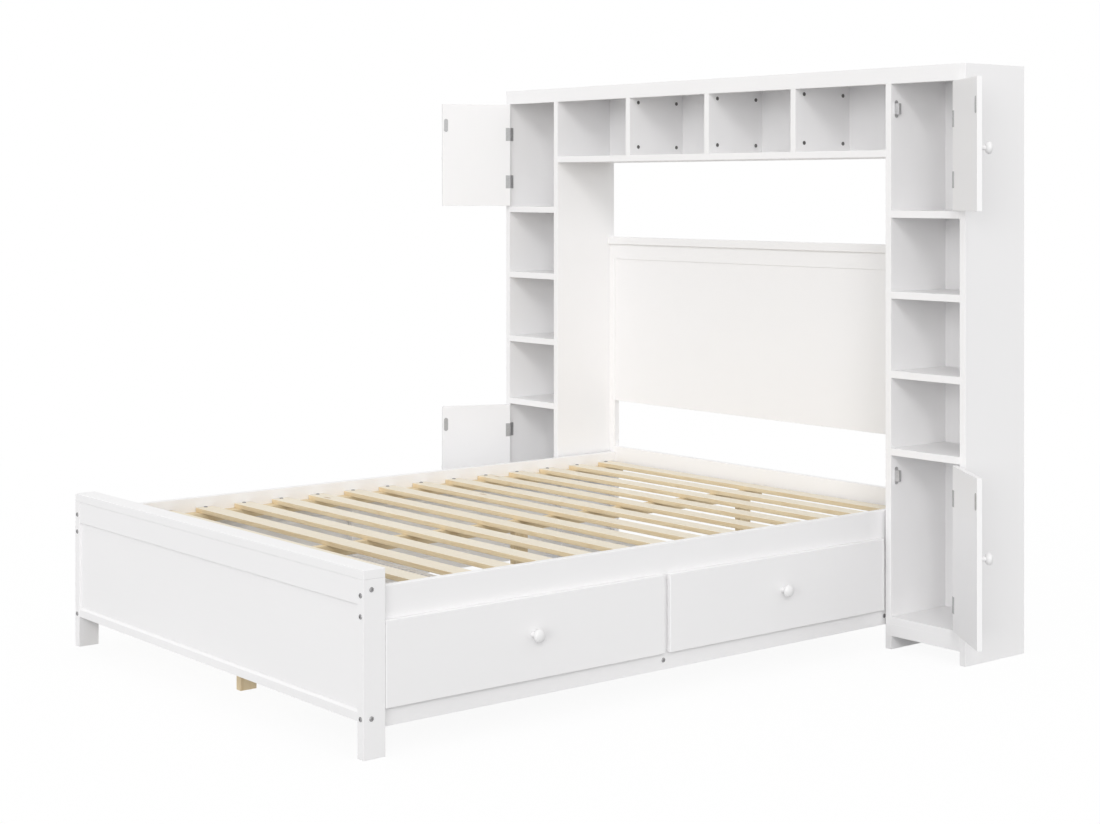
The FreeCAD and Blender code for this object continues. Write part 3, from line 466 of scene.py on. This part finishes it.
def plated_steel(name, colour, roughness, cell):
    """Dull plating: fine scratches one way, clouding, and a little tarnish."""
    finish = Finish(bpy.data.materials.new(name))
    place = finish.place()
    scratch = finish.noise(place, cell, detail=FINE_DETAIL)
    cloud = finish.noise(place, PLATING_CLOUD_CELL)
    dark = tuple(channel * TARNISH_TONE for channel in colour)
    share = cloud * TARNISH_CLOUD_SHARE + scratch * TARNISH_SCRATCH_SHARE
    tarnish = finish.blend(share, opaque(colour), opaque(dark))
    rough = roughness + scratch * PLATING_SCRATCH_ROUGH + cloud * PLATING_CLOUD_ROUGH
    return finish.surface({"Base Color": tarnish, "Metallic": 1.0, "Roughness": rough,
                           "Normal": finish.bump(scratch, PLATING_RELIEF)})


def dress(nodes, material):
    """Give nodes one material."""
    for name in nodes:
        mesh = frame["nodes"][name].data
        mesh.materials.clear()
        mesh.materials.append(material)


def corners(name):
    """A node's vertices at rest as an array."""
    mesh = frame["nodes"][name].data
    flat = np.empty(len(mesh.vertices) * 3)
    mesh.vertices.foreach_get("co", flat)
    return flat.reshape(-1, 3)


def body_of_node(name):
    """The body that a node belongs to."""
    bodies = frame["record"]["behaviour"]["bodies"]
    return [body for body, members in bodies.items() if name in members][0]


def revolved(outline, foot, axis, segments):
    """A closed surface of revolution.

    Each outline point is a radius r and a height z. For an angle a round the axis, a point is
    foot + z * axis + r * (cos a * side + sin a * up), where side and up are square to the axis.
    """
    axis = np.asarray(axis) / np.linalg.norm(axis)
    spare = np.eye(3)[np.argmin(np.abs(axis))]
    side = np.cross(axis, spare)
    side /= np.linalg.norm(side)
    up = np.cross(axis, side)
    angle = np.linspace(0.0, 2.0 * np.pi, segments, endpoint=False)
    ring = np.cos(angle)[:, None] * side + np.sin(angle)[:, None] * up
    radius, height = outline[1:-1, 0], outline[1:-1, 1]
    wall = foot + height[:, None, None] * axis + radius[:, None, None] * ring
    points = np.vstack([wall.reshape(-1, 3), foot + outline[0, 1] * axis, foot + outline[-1, 1] * axis])
    rows = len(radius)
    low, step = np.meshgrid(np.arange(rows - 1), np.arange(segments), indexing="ij")
    after = (step + 1) % segments
    quads = np.stack([low * segments + step, low * segments + after,
                      (low + 1) * segments + after, (low + 1) * segments + step], axis=-1).reshape(-1, 4)
    turn = np.arange(segments)
    following = (turn + 1) % segments
    bottom = np.stack([np.full(segments, rows * segments), following, turn], axis=-1)
    last = (rows - 1) * segments
    top = np.stack([np.full(segments, rows * segments + 1), last + turn, last + following], axis=-1)
    return points, quads.tolist() + bottom.tolist() + top.tolist()


def piece(name, points, faces, material):
    """A smooth mesh piece with its place in its mesh."""
    mesh = bpy.data.meshes.new(name)
    mesh.from_pydata(points.tolist(), [], faces)
    mesh.materials.append(material)
    mesh.shade_smooth()
    mesh.update()
    made = bpy.data.objects.new(name, mesh)
    bpy.context.scene.collection.objects.link(made)
    return made


class BED_OT_paint_boards(bpy.types.Operator):
    """Paint the boards white, with the fibres of each one along its length"""

    bl_idname = "bed.paint_boards"
    bl_label = "Paint Boards"

    def execute(self, context):
        paint = context.scene.bed_paint
        dress(PAINTED_ACROSS, satin_paint("paint_across", "X", paint))
        dress(PAINTED_ALONG, satin_paint("paint_along", "Y", paint))
        dress(PAINTED_UPRIGHT, satin_paint("paint_upright", "Z", paint))
        dress(LACQUERED, satin_paint("drawer_lacquer", "X", paint, tint=LACQUER_TINT))
        return {"FINISHED"}


class BED_OT_bare_pine(bpy.types.Operator):
    """Leave the slats, their supports and the legs in bare pine"""

    bl_idname = "bed.bare_pine"
    bl_label = "Bare Pine"

    def execute(self, context):
        pine = context.scene.bed_pine
        along, height = corners("slats")[:, 1:].T
        pitch = float(along.max() - along.min() - pine.slat_width) / (pine.slat_count - 1)
        start = float(along.min()) - (pitch - pine.slat_width) / 2.0
        # Height of the slats' top face, which gets the paler colours as painted light.
        top = float(height.max())
        dress(PINE_ACROSS, bare_pine("pine_slats", "X", pine, pitch, start, top))
        dress(PINE_ALONG, bare_pine("pine_along", "Y", pine))
        dress(PINE_UPRIGHT, bare_pine("pine_upright", "Z", pine))
        return {"FINISHED"}


class BED_OT_steel_fittings(bpy.types.Operator):
    """Plate the hinges, catches and caps"""

    bl_idname = "bed.steel_fittings"
    bl_label = "Steel Fittings"

    def execute(self, context):
        steel = context.scene.bed_steel
        for nodes, name, colour, cell in (
                (DOOR_STEEL, "door_steel", steel.door, UPRIGHT_SCRATCH_CELL),
                (HINGE_STEEL, "hinge_steel", steel.hinge, UPRIGHT_SCRATCH_CELL),
                (CATCH_STEEL, "catch_steel", steel.catch, UPRIGHT_SCRATCH_CELL),
                (CAP_STEEL, "cap_steel", steel.cap, EVEN_SCRATCH_CELL)):
            dress(nodes, plated_steel(name, colour, steel.roughness, cell))
        return {"FINISHED"}


def knob_outline(knobs, height):
    """A knob's outline from its foot to its crown, as radius and height.

    The stem narrows with the cube of what is left of its height. The head's underside is near a quarter of
    an ellipse that opens outwards, and its crown is a quarter of another that closes on the axis.
    """
    neck, widest = height * knobs.neck_share, height * knobs.head_share
    share = np.linspace(0.0, 1.0, knobs.rings)
    flare = (knobs.foot_radius - knobs.neck_radius) * (1.0 - share) ** STEM_POWER
    stem = np.stack([knobs.neck_radius + flare, neck * share], axis=1)
    turn = share[1:] * np.pi / 2.0
    reach = knobs.head_radius - knobs.neck_radius
    under = np.stack([knobs.neck_radius + reach * np.sin(turn) ** UNDER_OUT_POWER,
                      neck + (widest - neck) * (1.0 - np.cos(turn) ** UNDER_UP_POWER)], axis=1)
    crown = np.stack([knobs.head_radius * np.cos(turn), widest + (height - widest) * np.sin(turn)], axis=1)
    crown[-1, 0] = 0.0
    return np.vstack([[[0.0, 0.0]], stem, under, crown])


def knob_axis(name):
    """Foot, direction and height of a knob, from its solid: it stands square on the board behind it."""
    solid = corners(name)
    front = name.replace("_knob", "_front") if "drawer" in name else name.replace("_knob", "_panel")
    flat = corners(front)
    spread = np.linalg.svd(flat - flat.mean(axis=0), full_matrices=False)[2]
    axis = spread[2]
    if (solid.mean(axis=0) - flat.mean(axis=0)) @ axis < 0.0:
        axis = -axis
    reach = solid @ axis
    across = solid - reach[:, None] * axis
    middle = across @ spread[:2].T
    middle = (middle.min(axis=0) + middle.max(axis=0)) / 2.0 @ spread[:2]
    return middle + reach.min() * axis, axis, reach.max() - reach.min()


class BED_OT_turned_knobs(bpy.types.Operator):
    """Turn the six mushroom knobs of the doors and drawers"""

    bl_idname = "bed.turned_knobs"
    bl_label = "Turned Knobs"

    def execute(self, context):
        knobs = context.scene.bed_knobs
        # The knobs get the satin paint in their own darker colours, painted shade that damps the light on
        # them.
        paint = satin_paint("knob_paint", "Z", context.scene.bed_paint, colours=(knobs.colour, knobs.shade))
        for name in KNOBS:
            foot, axis, height = knob_axis(name)
            points, faces = revolved(knob_outline(knobs, height), foot, axis, knobs.segments)
            turned = piece("turned_" + name, points, faces, paint)
            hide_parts(name)
            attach(turned, body_of_node(name))
        return {"FINISHED"}


def islands(name):
    """A node's separate solids, each as an array of its vertices."""
    points, index = np.unique(np.round(corners(name), 6), axis=0, return_inverse=True)
    index = index.reshape(-1)
    mesh = frame["nodes"][name].data
    flat = np.empty(len(mesh.edges) * 2, dtype=int)
    mesh.edges.foreach_get("vertices", flat)
    ends = index[flat.reshape(-1, 2)]
    label = np.arange(len(points))
    while True:
        lowest = label.copy()
        np.minimum.at(lowest, ends[:, 0], label[ends[:, 1]])
        np.minimum.at(lowest, ends[:, 1], label[ends[:, 0]])
        lowest = lowest[lowest]
        if np.array_equal(lowest, label):
            break
        label = lowest
    return [points[label == group] for group in np.unique(label)]


def bolt_place(solid):
    """A bolt's tip, its direction, the radii of its shank and head, and how far up its head starts."""
    low, high = solid.min(axis=0), solid.max(axis=0)
    along = int(np.argmax(high - low))
    centre = (low + high) / 2.0
    reach = np.linalg.norm(np.delete(solid - centre, along, axis=1), axis=1)
    radius = reach.max()
    at_high_end = solid[:, along] > high[along] - LOOSE
    sign = 1.0 if reach[at_high_end].max() > HEAD_REACH_SHARE * radius else -1.0
    axis = np.zeros(3)
    axis[along] = sign
    tip = centre - axis * (high[along] - low[along]) / 2.0
    shank = reach[np.abs(solid[:, along] - tip[along]) < LOOSE].max()
    head = solid[reach > HEAD_REACH_SHARE * radius, along]
    seat = np.round(sign * (head - tip[along]), 5).min()
    return tip, axis, shank, radius, seat


def bolt_head(bolts, solid, segments):
    """Points and faces of a bolt's shank and its low domed head with a six-sided socket.

    From the axis at the shank's tip the outline runs along the shank, under the head, up its rim, over a
    crown that falls with the square of the radius, across a flat ring, and down to the socket's floor. The
    socket's radius at an angle a is its inner radius / cos(a - the middle of that side).
    """
    tip, axis, shank, radius, seat = bolt_place(solid)
    share = np.linspace(0.0, 1.0, DOME_STEPS)
    crown_start = radius * bolts.crown_share
    dome_radius = radius + (crown_start - radius) * share
    dome = np.stack([dome_radius, seat + bolts.rim + (bolts.crown - bolts.rim) * (1.0 - (1.0 - share) ** 2)],
                    axis=1)
    inner = radius * bolts.socket_share
    top = seat + bolts.crown
    bottom = top - bolts.socket_depth
    start = [[0.0, 0.0], [shank, 0.0], [shank, seat], [radius, seat]]
    end = [[inner, top], [inner, bottom], [0.0, bottom]]
    outline = np.vstack([start, dome, end])
    points, faces = revolved(outline, tip, axis, segments)
    wall = points[:-2].reshape(len(outline) - 2, segments, 3)
    angle = np.linspace(0.0, 2.0 * np.pi, segments, endpoint=False)
    side = 2.0 * np.pi / SOCKET_SIDES
    stretch = 1.0 / np.cos(np.mod(angle, side) - side / 2.0)
    for ring, height in ((-2, top), (-1, bottom)):
        middle = tip + height * axis
        wall[ring] = middle + (wall[ring] - middle) * stretch[:, None] * np.cos(side / 2.0)
    points[:-2] = wall.reshape(-1, 3)
    return points, faces


class BED_OT_domed_heads(bpy.types.Operator):
    """Give the frame's bolts and the slat screws low domed heads with six-sided sockets"""

    bl_idname = "bed.domed_heads"
    bl_label = "Domed Heads"

    def execute(self, context):
        bolts, steel = context.scene.bed_bolts, context.scene.bed_steel
        material = plated_steel("bolt_steel", steel.bolt, steel.roughness, EVEN_SCRATCH_CELL)
        dress(DOMED, material)
        for name in DOMED:
            points, faces, first = [], [], 0
            for solid in islands(name):
                made, sides = bolt_head(bolts, solid, bolts.segments)
                points.append(made)
                faces += [[corner + first for corner in face] for face in sides]
                first += len(made)
            heads = piece("domed_" + name, np.vstack(points), faces, material)
            heads.data.set_sharp_from_angle(angle=HEAD_SHARP_ANGLE)
            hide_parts(name)
            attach(heads, body_of_node(name))
        return {"FINISHED"}


class BED_OT_studio(bpy.types.Operator):
    """Set up the floor, the soft light and the camera"""

    bl_idname = "bed.studio"
    bl_label = "Studio"

    def execute(self, context):
        stage = context.scene.bed_stage
        context.scene.view_settings.view_transform = "Standard"
        self.floor(stage)
        self.sky(context, stage)
        self.lamps(context, stage)
        self.camera(context, stage)
        return {"FINISHED"}

    def floor(self, stage):
        """A wide matt floor: white as seen, a little less by the bed so that its shadow stays."""
        square = np.array([(-1.0, -1.0, 0.0), (1.0, -1.0, 0.0), (1.0, 1.0, 0.0), (-1.0, 1.0, 0.0)])
        points = square * FLOOR_HALF - np.array((0.0, 0.0, FLOOR_DROP))
        finish = Finish(bpy.data.materials.new("floor_white"))
        place = finish.place()
        mottle = finish.noise(place, MOTTLE_CELL)
        scaled = finish.node("VectorMath", {"operation": "MULTIPLY"}, {0: place, 1: UNDER_SCALE})
        beyond = finish.ramp(finish.length(scaled), *UNDER_EDGES)
        tone = finish.blend(beyond + (mottle - 0.5) * MOTTLE_SHARE, grey(stage.floor_under),
                            grey(stage.floor_round))
        seen = finish.seen()
        matt = finish.node("BsdfDiffuse", None, {"Color": finish.blend(seen, tone, WHITE)})
        white = finish.node("Emission", None, {"Color": WHITE, "Strength": 1.0})
        share = finish.ramp(finish.length(place), FLOOR_NEAR_REACH, stage.floor_fade, stage.floor_near, 1.0)
        mixed = finish.node("MixShader", None, {0: seen * share, 1: matt, 2: white})
        finish.node("OutputMaterial", None, {"Surface": mixed})
        ground = piece("studio_floor", points, [(0, 1, 2, 3)], finish.owner)

    def sky(self, context, stage):
        """Even white light from all round, and plain white where the camera or a reflection sees it."""
        finish = Finish(bpy.data.worlds.new("studio_sky"))
        even = finish.node("Background", None, {"Color": WHITE, "Strength": stage.sky})
        white = finish.node("Background", None, {"Color": WHITE, "Strength": 1.0})
        mixed = finish.node("MixShader", None, {0: finish.seen(), 1: even, 2: white})
        finish.node("OutputWorld", None, {"Surface": mixed})
        context.scene.world = finish.owner

    def lamps(self, context, stage):
        """Two far soft lights, one from the drawer side and one from the foot end."""
        for name in ("key", "fill"):
            lamp = bpy.data.lights.new(name, "SUN")
            lamp.energy = getattr(stage, name)
            lamp.angle = getattr(stage, name + "_width")
            direction = Vector(getattr(stage, name + "_from"))
            made = bpy.data.objects.new(name, lamp)
            made.location = direction * LAMP_DISTANCE
            made.rotation_euler = direction.to_track_quat("Z", "Y").to_euler()
            context.scene.collection.objects.link(made)

    def camera(self, context, stage):
        """A level camera, shifted down to frame the bed."""
        lens = bpy.data.cameras.new("camera")
        lens.sensor_width = SENSOR_WIDTH
        lens.lens = stage.lens
        lens.shift_y = stage.shift
        lens.clip_end = VIEW_END
        made = bpy.data.objects.new("camera", lens)
        made.location = stage.camera_place
        made.rotation_euler = (math.pi / 2.0, 0.0, stage.camera_turn)
        context.scene.collection.objects.link(made)
        context.scene.camera = made


class BED_PT_sidebar(bpy.types.Panel):
    """The bed's settings and its operators"""

    bl_idname = "BED_PT_sidebar"
    bl_label = "Storage Bed"
    bl_space_type = "VIEW_3D"
    bl_region_type = "UI"
    bl_category = "Storage Bed"

    def draw(self, context):
        for group_name, operator in STEPS:
            group = getattr(context.scene, group_name)
            box = self.layout.box()
            for name in group.__annotations__:
                box.prop(group, name)
            box.operator(operator)


GROUPS = {"bed_paint": PaintProperties, "bed_pine": PineProperties, "bed_steel": SteelProperties,
          "bed_knobs": KnobProperties, "bed_bolts": BoltProperties, "bed_stage": StageProperties}
STEPS = (("bed_paint", "bed.paint_boards"), ("bed_pine", "bed.bare_pine"),
         ("bed_steel", "bed.steel_fittings"), ("bed_knobs", "bed.turned_knobs"),
         ("bed_bolts", "bed.domed_heads"), ("bed_stage", "bed.studio"))
CLASSES = tuple(GROUPS.values()) + (BED_OT_paint_boards, BED_OT_bare_pine, BED_OT_steel_fittings,
                                    BED_OT_turned_knobs, BED_OT_domed_heads, BED_OT_studio,
                                    BED_PT_sidebar)


def register():
    for made in CLASSES:
        bpy.utils.register_class(made)
    for name, group in GROUPS.items():
        setattr(bpy.types.Scene, name, PointerProperty(type=group))


def unregister():
    for name in GROUPS:
        delattr(bpy.types.Scene, name)
    for made in reversed(CLASSES):
        bpy.utils.unregister_class(made)


def main():
    register()
    bpy.ops.bed.paint_boards()
    bpy.ops.bed.bare_pine()
    bpy.ops.bed.steel_fittings()
    bpy.ops.bed.turned_knobs()
    bpy.ops.bed.domed_heads()
    bpy.ops.bed.studio()


if __name__ == "__main__":
    main()
